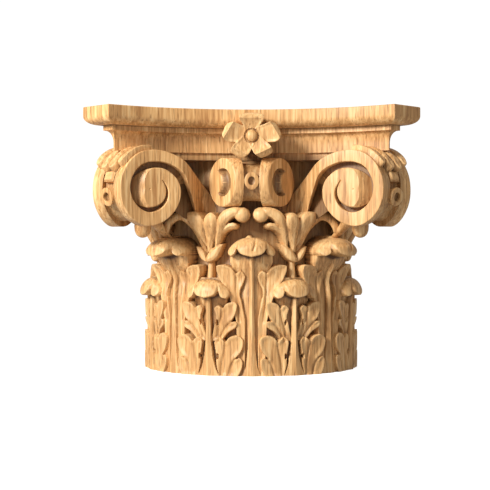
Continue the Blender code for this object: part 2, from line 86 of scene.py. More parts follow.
def solid(name, points, quads, rims, hollow=None):
    """A closed piece from its points, its quads and the many-sided faces that close it.

    The sum of the corner products of its faces gives its volume, whose sign says which way the
    faces point, and they are turned over where it is negative. Each piece stops a hair further
    from the wall than the one before, so that no two backs share a plane.
    """
    points = points.reshape(-1, 3).astype(np.float64)
    points[:, 1] = np.minimum(points[:, 1], AXIS_Y - WALL_STEP * len(made))
    made.append(name)
    fans = [np.stack([np.full(len(rim) - 2, rim[0]), rim[1:-1], rim[2:]], axis=-1) for rim in rims]
    thirds = np.concatenate([quads[:, [0, 1, 2]], quads[:, [0, 2, 3]]] + fans)
    corners = points[thirds]
    volume = np.einsum("ij,ij->i", corners[:, 0], np.cross(corners[:, 1], corners[:, 2])).sum()
    if volume < 0:
        quads = quads[:, ::-1]
        rims = [rim[::-1] for rim in rims]
    loops = np.concatenate([quads.ravel()] + rims).astype(np.int32)
    sizes = np.concatenate([np.full(len(quads), 4)] + [[len(rim)] for rim in rims])
    starts = np.concatenate([[0], np.cumsum(sizes)[:-1]]).astype(np.int32)
    mesh = bpy.data.meshes.new(name)
    mesh.vertices.add(len(points))
    mesh.vertices.foreach_set("co", points.astype(np.float32).ravel())
    mesh.loops.add(len(loops))
    mesh.loops.foreach_set("vertex_index", loops)
    mesh.polygons.add(len(starts))
    mesh.polygons.foreach_set("loop_start", starts)
    mesh.update(calc_edges=True)
    # The hollow attribute carries painted shade where it is positive and a painted highlight where it is
    # negative
    depth = mesh.attributes.new("hollow", "FLOAT", "POINT")
    if hollow is not None:
        depth.data.foreach_set("value", np.clip(hollow, -1, 1).astype(np.float32).ravel())
    mesh.shade_smooth()
    mesh.set_sharp_from_angle(angle=SHARP_EDGE)
    mesh.materials.append(oak)
    piece = bpy.data.objects.new(name, mesh)
    bpy.context.scene.collection.objects.link(piece)
    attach(piece, "root")
    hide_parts("capital")
    return piece


def swept(name, rings, hollow=None):
    """Closed rings of equal counts joined one to the next, with a flat face over each end."""
    rows, columns = rings.shape[:2]
    index = np.arange(rows * columns).reshape(rows, columns)
    after = np.roll(index, -1, axis=1)
    quads = np.stack([index[:-1], after[:-1], after[1:], index[1:]], axis=-1).reshape(-1, 4)
    return solid(name, rings, quads, [index[0, ::-1], index[-1]], hollow)


def oak_material():
    """Flat-sawn oak with upright grain: broad bands, fine streaks and short dark pores.

    Each is a noise stretched along the trunk, and a little from front to back. The hollow attribute
    paints shade, darkening what lies deep, and paints a highlight, lightening crests and arrises.
    """
    material = bpy.data.materials.new("oak")
    material.use_nodes = True
    nodes, links = material.node_tree.nodes, material.node_tree.links
    shader = nodes["Principled BSDF"]
    place = nodes.new("ShaderNodeTexCoord")

    def grain(across, along, detail, roughness, seed):
        mapping = nodes.new("ShaderNodeMapping")
        mapping.inputs["Scale"].default_value = (across, RING_SHARE * across, along)
        mapping.inputs["Location"].default_value = (seed, seed * 0.37, seed * 0.71)
        noise = nodes.new("ShaderNodeTexNoise")
        noise.inputs["Scale"].default_value = 1
        noise.inputs["Detail"].default_value = detail
        noise.inputs["Roughness"].default_value = roughness
        noise.inputs["Distortion"].default_value = 0.25
        links.new(place.outputs["Object"], mapping.inputs["Vector"])
        links.new(mapping.outputs["Vector"], noise.inputs["Vector"])
        return noise.outputs["Fac"]

    def math_node(operation, first, second):
        node = nodes.new("ShaderNodeMath")
        node.operation = operation
        for socket, value in zip(node.inputs, (first, second)):
            if isinstance(value, (int, float)):
                socket.default_value = value
            else:
                links.new(value, socket)
        return node.outputs[0]

    def ramp(value, *stops):
        node = nodes.new("ShaderNodeValToRGB")
        while len(node.color_ramp.elements) < len(stops):
            node.color_ramp.elements.new(0.5)
        for element, (position, colour) in zip(node.color_ramp.elements, stops):
            element.position = position
            element.color = colour
        links.new(value, node.inputs["Fac"])
        return node.outputs["Color"]

    def mixed(factor, first, second):
        node = nodes.new("ShaderNodeMix")
        node.data_type = "RGBA"
        links.new(factor, node.inputs["Factor"])
        for socket, value in ((node.inputs["A"], first), (node.inputs["B"], second)):
            if isinstance(value, tuple):
                socket.default_value = value
            else:
                links.new(value, socket)
        return node.outputs["Result"]

    bands = grain(across=70, along=5, detail=2, roughness=0.5, seed=0.0)
    streaks = grain(across=420, along=24, detail=3, roughness=0.6, seed=3.1)
    pores = grain(across=760, along=60, detail=1, roughness=0.5, seed=7.3)
    tone = math_node("ADD", math_node("MULTIPLY", bands, 0.3), math_node("MULTIPLY", streaks, 0.7))
    wood = ramp(tone, (0.36, OAK_DARK), (0.50, OAK_MIDDLE), (0.64, OAK_LIGHT))
    pore = ramp(pores, (0.60, (0, 0, 0, 1)), (0.70, (1, 1, 1, 1)))
    wood = mixed(math_node("MULTIPLY", pore, PORE_DARK), wood, OAK_PORE)
    # Painted shade: where the hollow attribute is positive, the wood is darkened towards the painted shade
    # colour
    depth = nodes.new("ShaderNodeAttribute")
    depth.attribute_name = "hollow"
    raised = math_node("MULTIPLY", depth.outputs["Fac"], -1.0)
    deep = math_node("MULTIPLY", math_node("MAXIMUM", depth.outputs["Fac"], 0.0), PAINTED_SHADE_STRENGTH)
    # Painted highlight: where the hollow attribute is negative, crests and arrises are lightened towards the
    # light oak colour
    highlight = math_node("MULTIPLY", math_node("MAXIMUM", raised, 0.0), PAINTED_HIGHLIGHT)
    wood = mixed(highlight, wood, OAK_LIGHT)
    wood = mixed(deep, wood, PAINTED_SHADE_COLOUR)
    links.new(wood, shader.inputs["Base Color"])
    rough = math_node("ADD", math_node("MULTIPLY", streaks, 0.22), 0.36)
    links.new(rough, shader.inputs["Roughness"])
    shader.inputs["Specular IOR Level"].default_value = 0.42
    bump = nodes.new("ShaderNodeBump")
    bump.inputs["Strength"].default_value = 0.35
    bump.inputs["Distance"].default_value = BUMP_DEPTH
    links.new(math_node("SUBTRACT", streaks, math_node("MULTIPLY", pore, 0.5)), bump.inputs["Height"])
    links.new(bump.outputs["Normal"], shader.inputs["Normal"])
    return material


oak = oak_material()
heights = np.linspace(0, 1.0, BELL_ROWS) * FASCIA_BOTTOM
turns = np.linspace(-HALF_TURN, HALF_TURN, BELL_COLUMNS)
walls = polar(bell_radius(heights)[:, None], turns[None, :], heights[:, None])
# Painted shade: the whole bell is darkened evenly, all but its two end columns at the wall
shade = np.full(walls.shape[:2], BELL_SHADE)
shade[:, [0, -1]] = 0
swept("bell", walls, shade)

# Abacus
# The moulded slab on top, with hollow sides and blunt horns. It is run round the block first: a plain
# band, an ovolo that turns under, a fillet, a cavetto, a fascia and the lip of the bell below it.
HORN_FACE = 36.8 * MM
SIDE_HOLLOW = 44.4 * MM
PLAN_STEPS = 36
TOP_BAND = 8.5 * MM
TOP_ARRIS = 0.6 * MM
OVOLO_DROP = 8 * MM
OVOLO_REACH = 11.5 * MM
FILLET_DROP = 4.5 * MM
QUIRK = 0.8 * MM
FILLET_STEP = 2 * MM
CAVETTO_DROP = 10.5 * MM
CAVETTO_REACH = 6 * MM
LIP_STEP = 3 * MM
LIP_DROP = 6.5 * MM
LIP_HORN_STEP = 30 * MM
LIP_SHADE = 0.6
QUIRK_SHADE = 0.6
CORNER_TURN = math.radians(45)
HORN_X = WIDTH / 2 - HORN_FACE / math.sqrt(2)
SIDE_RADIUS = (HORN_X ** 2 + SIDE_HOLLOW ** 2) / (2 * SIDE_HOLLOW)
SIDE_CENTRE = WIDTH / 2 - SIDE_HOLLOW + SIDE_RADIUS
HORN_REACH = (WIDTH / 2 + HORN_X) / math.sqrt(2)


def abacus_plan(inset, horn_inset):
    """Half of the plan at a level: half a hollow side, the front one and half a side again.

    Each side is an arc about a centre in front of it, and two arcs are joined by a blunt horn. The
    arc's end is where it meets the horn's face, set in by the horn's own inset.
    """
    reach = SIDE_RADIUS + inset
    end = CORNER_TURN + math.asin((HORN_REACH - horn_inset - SIDE_CENTRE / math.sqrt(2)) / reach)
    turns = np.linspace(-end, end, 2 * PLAN_STEPS + 1)
    along, out = reach * np.sin(turns), SIDE_CENTRE - reach * np.cos(turns)
    left = np.stack([-out, along], axis=-1)[PLAN_STEPS:]
    front = np.stack([along, out], axis=-1)
    right = np.stack([out, along], axis=-1)[PLAN_STEPS:][::-1]
    return np.concatenate([left, front, right])


def abacus_levels():
    """(inset, height) down the profile: a quarter ellipse for the ovolo and one for the cavetto."""
    quarter = np.linspace(0, HALF_TURN, 9)
    z = HEIGHT - TOP_BAND
    levels = [(TOP_ARRIS, HEIGHT), (0, HEIGHT - TOP_ARRIS), (0, z)]
    levels += [(OVOLO_REACH * (1 - math.cos(t)), z - OVOLO_DROP * math.sin(t)) for t in quarter[1:]]
    z -= OVOLO_DROP
    inset = OVOLO_REACH + FILLET_STEP
    levels += [(inset, z), (inset, z - QUIRK), (inset, z - FILLET_DROP)]
    z -= FILLET_DROP
    inset += FILLET_STEP / 2
    levels += [(inset + CAVETTO_REACH * math.sin(t), z - CAVETTO_DROP * (1 - math.cos(t))) for t in quarter]
    levels.append((inset + CAVETTO_REACH, FASCIA_BOTTOM))
    return levels, inset + CAVETTO_REACH + LIP_STEP


levels, lip = abacus_levels()
rings = [(abacus_plan(inset, inset), z) for inset, z in levels]
rings += [(abacus_plan(lip, lip + LIP_HORN_STEP), z) for z in (FASCIA_BOTTOM, FASCIA_BOTTOM - LIP_DROP)]
rings = [np.column_stack([plan[:, 0], AXIS_Y - plan[:, 1], np.full(len(plan), z)]) for plan, z in rings]
heights = np.array([ring[0, 2] for ring in rings])
# Painted shade: the bell's lip below the fascia darkens towards its foot, and the quirk under the ovolo is a
# dark line
shade = np.interp(heights, (FASCIA_BOTTOM - LIP_DROP, FASCIA_BOTTOM), (LIP_SHADE, 0.0))
shade[np.abs(heights - (HEIGHT - TOP_BAND - OVOLO_DROP)) < QUIRK / 10] = QUIRK_SHADE
swept("abacus", np.array(rings), np.repeat(shade, len(rings[0])))

# Lower leaves
# The front row of acanthus, four leaves on the half round. Each has a creased rib, two pairs of lobed
# leaflets with drilled eyes, and a tip that rolls over into three lobes. Its outlines are (sideways,
# up) in mm from the foot of its middle line.
LEAF_TURN = math.radians(22.5)
GRID = 0.5 * MM
GROUND = -3 * MM
LEAF_RADIUS = 100 * MM
SECTOR = LEAF_TURN * LEAF_RADIUS
LOWER_TOP = 90 * MM
LOWER_CAP = (
    ((0, 88.9), (9, 87.5), (16, 83.5), (20, 78), (20, 73.5), (17, 70.8), (12.8, 72.5), (10.6, 77.4)),
    ((10.6, 77.4), (7.2, 73.6), (0, 71.4)),
)
LOWER_SIDES = (
    (
        ((7.5, 9), (7, 21), (5.5, 31), (10, 35.7), (16, 31.6)),
        ((16, 31.6), (20.2, 36), (27.6, 37.2), (32.3, 32.6), (30.6, 23), (24.9, 15.7)),
        ((24.9, 15.7), (29.1, 16.9), (31.5, 13.8), (31, 7), (27.2, -1.3)),
        ((27.2, -1.3), (10.2, -1.3)),
        ((10.2, -1.3), (7.5, 9)),
    ),
    (
        ((2.5, 36.3), (5.5, 46.8), (7.4, 54), (5.4, 61.6), (9.1, 64.8), (13.4, 62.4)),
        ((13.4, 62.4), (17, 66.5), (24.2, 68), (26.8, 64.6), (25.2, 56.7), (21.7, 50.1)),
        ((21.7, 50.1), (26.3, 49.6), (25.6, 44.5), (18.2, 39.4), (13, 33)),
        ((13, 33), (2.5, 31)),
        ((2.5, 31), (2.5, 36.3)),
    ),
)
LOWER_EYES = ((8.6, 17.8, 1.2, 3.0), (8.2, 48.8, 1.2, 3.2))
LOWER_VALLEYS = (
    ((16, 31.0), (15, 24), (12.5, 12), (11.5, -2)),
    ((24.7, 15.4), (20.8, 9), (18.2, -2)),
    ((13.6, 62.0), (12.2, 54), (9, 44), (7.5, 36)),
    ((21.6, 50.0), (16.6, 45), (12, 38), (9, 32)),
)
LOWER_RIB = ((0, 10.5), (8, 7.0), (18, 4.4), (32, 3.0), (55, 2.3), (74, 2.0))
LOWER_BODY = ((0, 21), (20, 16), (40, 14.5), (58, 15), (72, 18), (84, 16))
LOWER_BODY_OUT = 5.4
LOWER_BODY_FALL = 2.6
LOWER_LEAN = 4.5
LOWER_LEAN_LEVELS = (62, 80)
LEAFLET_OUT = 9.0
LEAFLET_FLARE = 2.2
LEAFLET_WIDTH = 36
PAIR_SINK = (0, 2.6)
PAIR_SINK_LEVELS = (32, 52)
RIB_BEHIND = 8.6
RIB_FRONT = 11.0
RIB_END = 74
RIB_FALL = 2.0
RIB_CREASE = 0.78
CAP_OUT = 19.5
CAP_DROP = 10
CAP_HALF = 20
CAP_ROLL = 11
CAP_SIDE_FALL = 0.20
CAP_LOBE_STEP = 0.10
CAP_GROOVE = 1.2
PLATE_FOOT = -0.45
PLATE_BROW = 0.35
# The blur and the depth of full painted shade, for the painted shade and highlight of the reliefs
HOLLOW_BLUR = 5
HOLLOW_DEPTH = 3.2 * MM
LEAFLET_DISH = 1.2
VALLEY_DEPTH = 1.3
VALLEY_WIDTH = 1.2
EYE_DEPTH = 7


def on_bell(turn, side=1):
    """Place (along, z, out): an arc length at the leaves, a height, and how far it stands off the bell."""
    def place(along, z, out):
        return polar(bell_radius(z) + out, turn + side * along / LEAF_RADIUS, z)
    return place


def stroke(points, steps=8):
    """A smooth run through its points: a cubic on each stretch, with the slope of its neighbours' chord."""
    points = np.array(points, float)
    padded = np.vstack([2 * points[0] - points[1], points, 2 * points[-1] - points[-2]])
    t = np.linspace(0, 1, steps, endpoint=False)[:, None]
    run = []
    for a, b, c, d in zip(padded, padded[1:], padded[2:], padded[3:]):
        run.append(b + 0.5 * t * (c - a + t * (2 * a - 5 * b + 4 * c - d + t * (3 * (b - c) + d - a))))
    return np.vstack(run + [points[-1:]])


def outline(strokes):
    """A closed outline of smooth strokes that meet at sharp notches."""
    return np.vstack([stroke(points)[:-1] for points in strokes])


def distance(u, v, line, closed=False):
    """The shortest distance from each point of the grid to a run of straight pieces."""
    ends = np.roll(line, -1, axis=0) if closed else line[1:]
    starts = line if closed else line[:-1]
    best = np.full(u.shape, np.inf)
    for (ax, ay), (bx, by) in zip(starts, ends):
        dx, dy = bx - ax, by - ay
        t = np.clip(((u - ax) * dx + (v - ay) * dy) / (dx * dx + dy * dy + 1e-12), 0, 1)
        best = np.minimum(best, (u - ax - t * dx) ** 2 + (v - ay - t * dy) ** 2)
    return np.sqrt(best)


def depth_inside(u, v, line):
    """Distance to a closed outline, positive inside it: an odd number of crossings means inside."""
    odd = np.zeros(u.shape, bool)
    for (ax, ay), (bx, by) in zip(line, np.roll(line, -1, axis=0)):
        if ay != by:
            crossing = ax + (v - ay) * (bx - ax) / (by - ay)
            odd ^= ((ay > v) != (by > v)) & (u < crossing)
    return np.where(odd, 1, -1) * distance(u, v, line, closed=True)


def ramp_up(value, low, high):
    """Zero below low, one above high, and a smooth S between them."""
    t = np.clip((value - low) / (high - low), 0, 1)
    return t * t * (3 - 2 * t)


def plate(inside, top, arris=1.1):
    """A raised shape: a steep wall at its outline, an arris rounded as a quarter circle, then its top."""
    ground = GROUND / MM
    edge = np.clip(inside / arris, 0, 1)
    rounded = top - arris * (1 - np.sqrt(1 - (1 - edge) ** 2))
    wall = ramp_up(inside, PLATE_FOOT, PLATE_BROW)
    return np.where(inside > PLATE_FOOT, ground + (rounded - ground) * wall, ground)


def softened(grid, steps):
    """The grid blurred by a bell curve of that many steps, through its Fourier transform."""
    margin = 3 * steps
    padded = np.pad(grid, margin, mode="edge")
    rows = np.fft.fftfreq(padded.shape[0])[:, None]
    columns = np.fft.rfftfreq(padded.shape[1])[None, :]
    weight = np.exp(-2 * (math.pi * steps) ** 2 * (rows ** 2 + columns ** 2))
    soft = np.fft.irfft2(np.fft.rfft2(padded) * weight, padded.shape)
    return soft[margin:-margin, margin:-margin]


def carved(name, place, along, z, out, back=GROUND - 2 * MM):
    """A relief as a closed solid, with a rim that runs down to a back depth and one face behind.

    Its hollow value is how far each point lies below the softened surface round it: painted shade in its
    recesses, and a painted highlight where it stands above.
    """
    hollow = np.pad((softened(out, HOLLOW_BLUR) - out) / HOLLOW_DEPTH, 1, mode="edge")
    along, z, out = [np.pad(grid, 1, mode="edge") for grid in (along, z, out)]
    out[0], out[-1], out[:, 0], out[:, -1] = back, back, back, back
    rows, columns = out.shape
    index = np.arange(rows * columns).reshape(rows, columns)
    quads = np.stack([index[:-1, :-1], index[:-1, 1:], index[1:, 1:], index[1:, :-1]], axis=-1)
    rim = np.concatenate([index[0, :-1], index[:-1, -1], index[-1, :0:-1], index[:0:-1, 0]])
    return solid(name, place(along, z, out), quads.reshape(-1, 4), [rim[::-1]], hollow)


def lobed(u, v, strokes, top, valleys=(), eyes=()):
    """A leaflet: a plate dished a little behind its edge, with soft valleys and drilled eyes."""
    inside = depth_inside(u, v, outline(strokes))
    dish = LEAFLET_DISH * ramp_up(inside, 0.5, 5)
    for valley in valleys:
        dish = dish + VALLEY_DEPTH * np.exp(-(distance(u, v, stroke(valley)) / VALLEY_WIDTH) ** 2)
    out = plate(inside, top - dish)
    for eye_u, eye_v, wide, tall in eyes:
        hole = 1 - np.sqrt(((u - eye_u) / wide) ** 2 + ((v - eye_v) / tall) ** 2)
        out = out - EYE_DEPTH * ramp_up(hole, 0, 0.5) * (out > 0)
    return out


def rib(u, v, widths, top):
    """A rib of two facets that meet at a crease beside its middle, steep at its sides."""
    heights, half = zip(*widths)
    half = np.interp(v, heights, half)
    roof = top - RIB_FALL * np.abs(u - RIB_CREASE * half / half.max()) / half
    return plate(half - np.abs(u), roof, arris=0.5)


def rolled_tip(u, v, strokes, top, drop):
    """A tip that rolls over: it swells as a quarter circle from its upper edge down to its lip.

    Its surface also falls away to both sides. Past the notch in its lip the side lobes step back,
    and that step fades out a little way above the notch, so the crown stays one smooth dome.
    """
    lip, crest = strokes[-1][-1][1], strokes[0][0][1]
    closing = (((0, lip), (-6, lip)), ((-6, lip), (-6, crest)), ((-6, crest), (0, crest)))
    side = np.abs(u)
    inside = depth_inside(side, v, outline(strokes + closing))
    arch = crest - drop * (side / CAP_HALF) ** 2
    roll = np.clip((arch - v) / CAP_ROLL, 0, 1)
    swell = 0.5 + 0.5 * np.sqrt(1 - (1 - roll) ** 2)
    notch_u, notch_v = strokes[0][-1]
    fade = 1 - ramp_up(v, notch_v + 1, notch_v + 7)
    step = CAP_LOBE_STEP * fade * ramp_up(side, notch_u - 1.2, notch_u + 0.6)
    fall = 1 - CAP_SIDE_FALL * (side / CAP_HALF) ** 2 - step
    groove = CAP_GROOVE * fade * np.exp(-(side - notch_u) ** 2)
    return plate(inside, top * swell * fall - groove, arris=1.5)


def lower_leaf():
    """(along, z, out) over one leaf in mm, mirrored about its middle line."""
    along = np.arange(-SECTOR, SECTOR + GRID / 2, GRID) / MM
    along = along - along.mean()
    heights = np.arange(0, LOWER_TOP + GRID / 2, GRID) / MM
    u, v = np.meshgrid(along, heights)
    side = np.abs(u)
    half = np.interp(v, *zip(*LOWER_BODY))
    lean = LOWER_LEAN * ramp_up(v, *LOWER_LEAN_LEVELS)
    body = plate(half - side, LOWER_BODY_OUT - LOWER_BODY_FALL * (side / half) + lean, arris=2)
    out = np.maximum(body, rib(u, v, LOWER_RIB, RIB_BEHIND))
    leaflet = LEAFLET_OUT + LEAFLET_FLARE * (side / LEAFLET_WIDTH)
    for strokes, sink in zip(LOWER_SIDES, PAIR_SINK):
        top = leaflet - sink * (1 - ramp_up(v, *PAIR_SINK_LEVELS))
        out = np.maximum(out, lobed(side, v, strokes, top, LOWER_VALLEYS, LOWER_EYES))
    out = np.maximum(out, np.where(v < RIB_END, rib(u, v, LOWER_RIB, RIB_FRONT), GROUND / MM))
    out = np.maximum(out, rolled_tip(u, v, LOWER_CAP, CAP_OUT, CAP_DROP))
    return u * MM, v * MM, out * MM


leaf = lower_leaf()
for number, share in enumerate((-3, -1, 1, 3)):
    carved("lower_leaf_%d" % (number + 1), on_bell(share * LEAF_TURN), *leaf)

# Upper leaves
# The row behind, one leaf in the middle, one under each corner and half of one at each side. Only
# the rib shows between the lower leaves; above them come one pair of leaflets and a rolled tip.
UPPER_TOP = 129 * MM
UPPER_CAP = (
    ((0, 127.2), (9, 126), (16.5, 121.8), (20.6, 116), (20.4, 111.8), (17.5, 109.6), (13.8, 112),
     (12.1, 116)),
    ((12.1, 116), (8.5, 111.5), (0, 108.9)),
)
UPPER_SIDE = (
    ((5.5, 52), (7.5, 62), (9.9, 74.7), (9.8, 79), (7.6, 84), (5.6, 91.2), (9.2, 96.3), (14.2, 94.2)),
    ((14.2, 94.2), (18.5, 99.6), (25, 101.9), (31.3, 101.4), (32.2, 98), (31.3, 93.5), (28.5, 87),
     (24.3, 81), (21, 74.7), (18, 66), (14, 50)),
    ((14, 50), (12, -1)),
    ((12, -1), (5.5, -1)),
    ((5.5, -1), (5.5, 52)),
)
UPPER_VALLEYS = (((14.2, 94.2), (14.0, 84), (13.0, 72), (11, 50)),)
UPPER_EYES = ((9.4, 74.5, 1.4, 4.0),)
UPPER_RIB = ((0, 8.6), (8, 5.6), (25, 3.6), (60, 2.6), (112, 2.1))
UPPER_BODY = ((0, 13), (60, 13), (80, 12), (90, 14), (98, 18), (104, 20), (112, 19.5), (118, 14), (119, 0))
UPPER_CAP_OUT = 28
CORNER_CAP_OUT = 40
UPPER_WALL_OUT = 9
UPPER_CAP_DROP = 9
UPPER_COLUMNS = 72
UPPER_REACH = ((0, 15), (55, 15), (85, 36), (129, 36))
COARSE_TOP = 56
UPPER_LEAN_LEVELS = (84, 112)
UPPER_BODY_OUT = 6.0
UPPER_BODY_FALL = 2.4
UPPER_BODY_LEAN = 9
UPPER_LEAFLET_OUT = 7.4
UPPER_LEAFLET_FLARE = 2.4
UPPER_LEAFLET_WIDTH = 33
UPPER_LEAFLET_LEAN = 6
UPPER_RIB_OUT = 10.0
UPPER_RIB_LEAN = 8
UPPER_RIB_END = 112
WALL_BODY_SINK = 4
WALL_RIB_SINK = 7
CAP_CREASE = ((3.6, 128), (3.0, 122), (1.2, 115))
CAP_CREASE_DEPTH = 1.3
CAP_CREASE_WIDTH = 0.8
CAP_CREASE_FOOT = 111
CAP_KNOB = (-2.2, 126.0, 3.0)


def dome(u, v, place, base):
    """A round boss on a base height: half a sphere about its middle, and the ground outside it."""
    middle_u, middle_v, radius = place
    swell = radius ** 2 - (u - middle_u) ** 2 - (v - middle_v) ** 2
    return np.where(swell > 0, base + np.sqrt(np.maximum(swell, 0)), GROUND / MM)


def upper_leaf(first, cap_out):
    """(along, z, out) over a leaf in mm, from a first column to its far edge.

    It leans out towards its tip, the more the further its tip stands out. A half leaf at the wall
    stays upright, with its rib and tip left shallow.
    """
    columns = np.linspace(first, 1, round((1 - first) * UPPER_COLUMNS) + 1)
    fine = GRID / MM
    heights = np.concatenate([np.arange(COARSE_TOP), np.arange(COARSE_TOP, UPPER_TOP / MM + fine / 2, fine)])
    reach = np.interp(heights, *zip(*UPPER_REACH))
    u, v = reach[:, None] * columns[None, :], np.repeat(heights[:, None], len(columns), axis=1)
    side = np.abs(u)
    half = np.interp(v, *zip(*UPPER_BODY))
    lean = ramp_up(v, *UPPER_LEAN_LEVELS) * (cap_out - UPPER_WALL_OUT) / (UPPER_CAP_OUT - UPPER_WALL_OUT)
    shallow = cap_out == UPPER_WALL_OUT
    middle = UPPER_BODY_OUT - WALL_BODY_SINK * shallow
    fall = UPPER_BODY_FALL * (side / np.maximum(half, 1))
    body = plate(half - side, middle - fall + UPPER_BODY_LEAN * lean, arris=2)
    top = UPPER_LEAFLET_OUT + UPPER_LEAFLET_FLARE * (side / UPPER_LEAFLET_WIDTH) + UPPER_LEAFLET_LEAN * lean
    out = np.maximum(body, lobed(side, v, UPPER_SIDE, top, UPPER_VALLEYS, UPPER_EYES))
    spine = rib(u, v, UPPER_RIB, UPPER_RIB_OUT - WALL_RIB_SINK * shallow + UPPER_RIB_LEAN * lean)
    out = np.maximum(out, np.where(v < UPPER_RIB_END, spine, GROUND / MM))
    out = np.maximum(out, rolled_tip(u, v, UPPER_CAP, cap_out, UPPER_CAP_DROP))
    if not shallow:
        crease = np.exp(-(distance(u, v, stroke(CAP_CREASE)) / CAP_CREASE_WIDTH) ** 2)
        out = out - CAP_CREASE_DEPTH * (v > CAP_CREASE_FOOT) * crease
        out = np.maximum(out, dome(u, v, CAP_KNOB, 0.5 * cap_out))
    return u * MM, v * MM, out * MM


middle_leaf, corner_leaf = upper_leaf(-1, UPPER_CAP_OUT), upper_leaf(-1, CORNER_CAP_OUT)
half_leaf = upper_leaf(0, UPPER_WALL_OUT)
for number, (share, leaf) in enumerate(((-2, corner_leaf), (0, middle_leaf), (2, corner_leaf))):
    carved("upper_leaf_%d" % (number + 1), on_bell(share * LEAF_TURN), *leaf)
for name, side in (("left", -1), ("right", 1)):
    carved("upper_leaf_side_" + name, on_bell(side * HALF_TURN, -side), *half_leaf)

# Stalks
# Between two upper leaves a stalk rises to a cup, and from the cup blades fan out: two that hold a
# ball under the centre scrolls, an upright one, one that leans away, and a free one that arches.
STALK_STEM = ((84, 3.4), (100, 3.1), (108, 3.0))
CUPS = (
    (10.5, (
        ((-15.6, 119.8), (-9.1, 117.2), (-4.2, 110.6), (-2.8, 103.8)),
        ((-2.8, 103.8), (-8.6, 106.6), (-12.6, 112), (-15.6, 119.8)),
    )),
    (12.0, (
        ((13.4, 121.6), (6.2, 119.6), (0.6, 115), (-3.4, 108.2), (-2.4, 103.8)),
        ((-2.4, 103.8), (4.2, 105.6), (9.4, 111), (13.4, 121.6)),
    )),
)
BLADES = (
    (9.0, 5.0, (
        ((-2.4, 116), (-4.6, 127), (-5.6, 139), (-9.4, 147), (-16, 151.2), (-23, 149.8), (-22.6, 144),
         (-16.4, 133), (-9, 123.6), (-2.4, 116)),
    )),
    (10.5, 5.0, (
        ((-2.8, 113), (-4.6, 127), (-6.4, 141), (-4.2, 147.6), (0.4, 150), (5, 146.6), (6, 139), (5, 128),
         (2, 113)),
        ((2, 113), (-2.8, 113)),
    )),
    (9.5, 3.0, (
        ((3.4, 112), (4.8, 130), (6.4, 141), (10, 149), (16, 153.4), (24, 155), (28, 153.5)),
        ((28, 153.5), (27, 146.6), (22.5, 145.8), (17.2, 141.6), (12.6, 132.6), (9.6, 120), (6, 112)),
        ((6, 112), (3.4, 112)),
    )),
    (8.0, 0.0, (
        ((10.4, 121), (13.6, 128.6), (19, 133.2), (25.5, 134.8), (27.6, 138.2), (24, 140.6), (19.4, 140.2)),
        ((19.4, 140.2), (13.6, 136), (9, 128), (8.4, 121)),
        ((8.4, 121), (10.4, 121)),
    )),
)
ARCH = (
    (-6, 112, 4, 3.0), (-9.5, 122, 8, 5.0), (-13.5, 134, 13, 7.0), (-18.5, 142.2, 18, 8.0),
    (-24.5, 146.9, 21.5, 8.4), (-30.5, 145.6, 24, 8.2), (-35, 140.8, 26, 7.4), (-36.6, 135.4, 27, 6.4),
    (-36.2, 131.6, 27, 4.0), (-36.0, 130.2, 27, 0.6),
)
ARCH_THICK = 7.5
ARCH_SIDES = 20
BALL = (31.2, 147.7, 7.0)
BALL_BASE = 20
STALK_STEP = 0.6
STALK_FAR = -46
STALK_FOOT = 84
STALK_TOP = 160
STEM_MIDDLE = 0.5
STEM_END = 110
STEM_OUT = 8
STEM_ROUND = 2.4
FAN_LEVELS = (112, 148)
FAN_RISE = 15
BLADE_CREASE = (2.2, 3.4)
CUP_CREASE = (2, 3)


def creased(inside, top, crease):
    """A plate whose top climbs from its outline to a crease: by a rise, over a width."""
    rise, width = crease
    return plate(inside, top + rise * np.clip(inside / width, 0, 1), arris=1.0)


def stalk():
    """(along, z, out) round a stalk in mm; along grows towards the middle of the capital's side."""
    along = np.arange(STALK_FAR, SECTOR / MM + STALK_STEP / 2, STALK_STEP)
    along[-1] = SECTOR / MM
    heights = np.arange(STALK_FOOT, STALK_TOP, STALK_STEP)
    u, v = np.meshgrid(along, heights)
    half = np.interp(v, *zip(*STALK_STEM))
    across = u + STEM_MIDDLE
    inside = np.minimum(half - np.abs(across), STEM_END - v)
    out = plate(inside, STEM_OUT - STEM_ROUND * (across / half) ** 2, arris=1.2)
    spread = ramp_up(v, *FAN_LEVELS)
    for top, shift, strokes in BLADES:
        inside = depth_inside(u - shift * spread, v, outline(strokes))
        out = np.maximum(out, creased(inside, top + FAN_RISE * spread, BLADE_CREASE))
    for top, strokes in CUPS:
        inside = depth_inside(u, v, outline(strokes))
        out = np.maximum(out, creased(inside, top, CUP_CREASE))
    out = np.maximum(out, dome(u, v, BALL, BALL_BASE))
    return u * MM, v * MM, out * MM


def arch():
    """Rings along the free blade: ellipses square to its path in the leaf's own sheet."""
    run = stroke(ARCH, 6)
    u, v, out, width = run.T[:, :, None]
    tangent = np.gradient(run[:, :2], axis=0)
    tangent /= np.linalg.norm(tangent, axis=1)[:, None]
    angle = np.linspace(0, 2 * math.pi, ARCH_SIDES, endpoint=False)
    across, rise = 0.5 * width * np.cos(angle), 0.5 * np.minimum(ARCH_THICK, width) * np.sin(angle)
    return [(u - tangent[:, 1:] * across) * MM, (v + tangent[:, :1] * across) * MM, (out + rise) * MM]


fan, blade = stalk(), arch()
for number, (share, side) in enumerate(((-3, -1), (-1, 1), (1, -1), (3, 1))):
    place = on_bell(share * LEAF_TURN, side)
    carved("stalk_%d" % (number + 1), place, *fan)
    swept("arch_%d" % (number + 1), place(*blade))

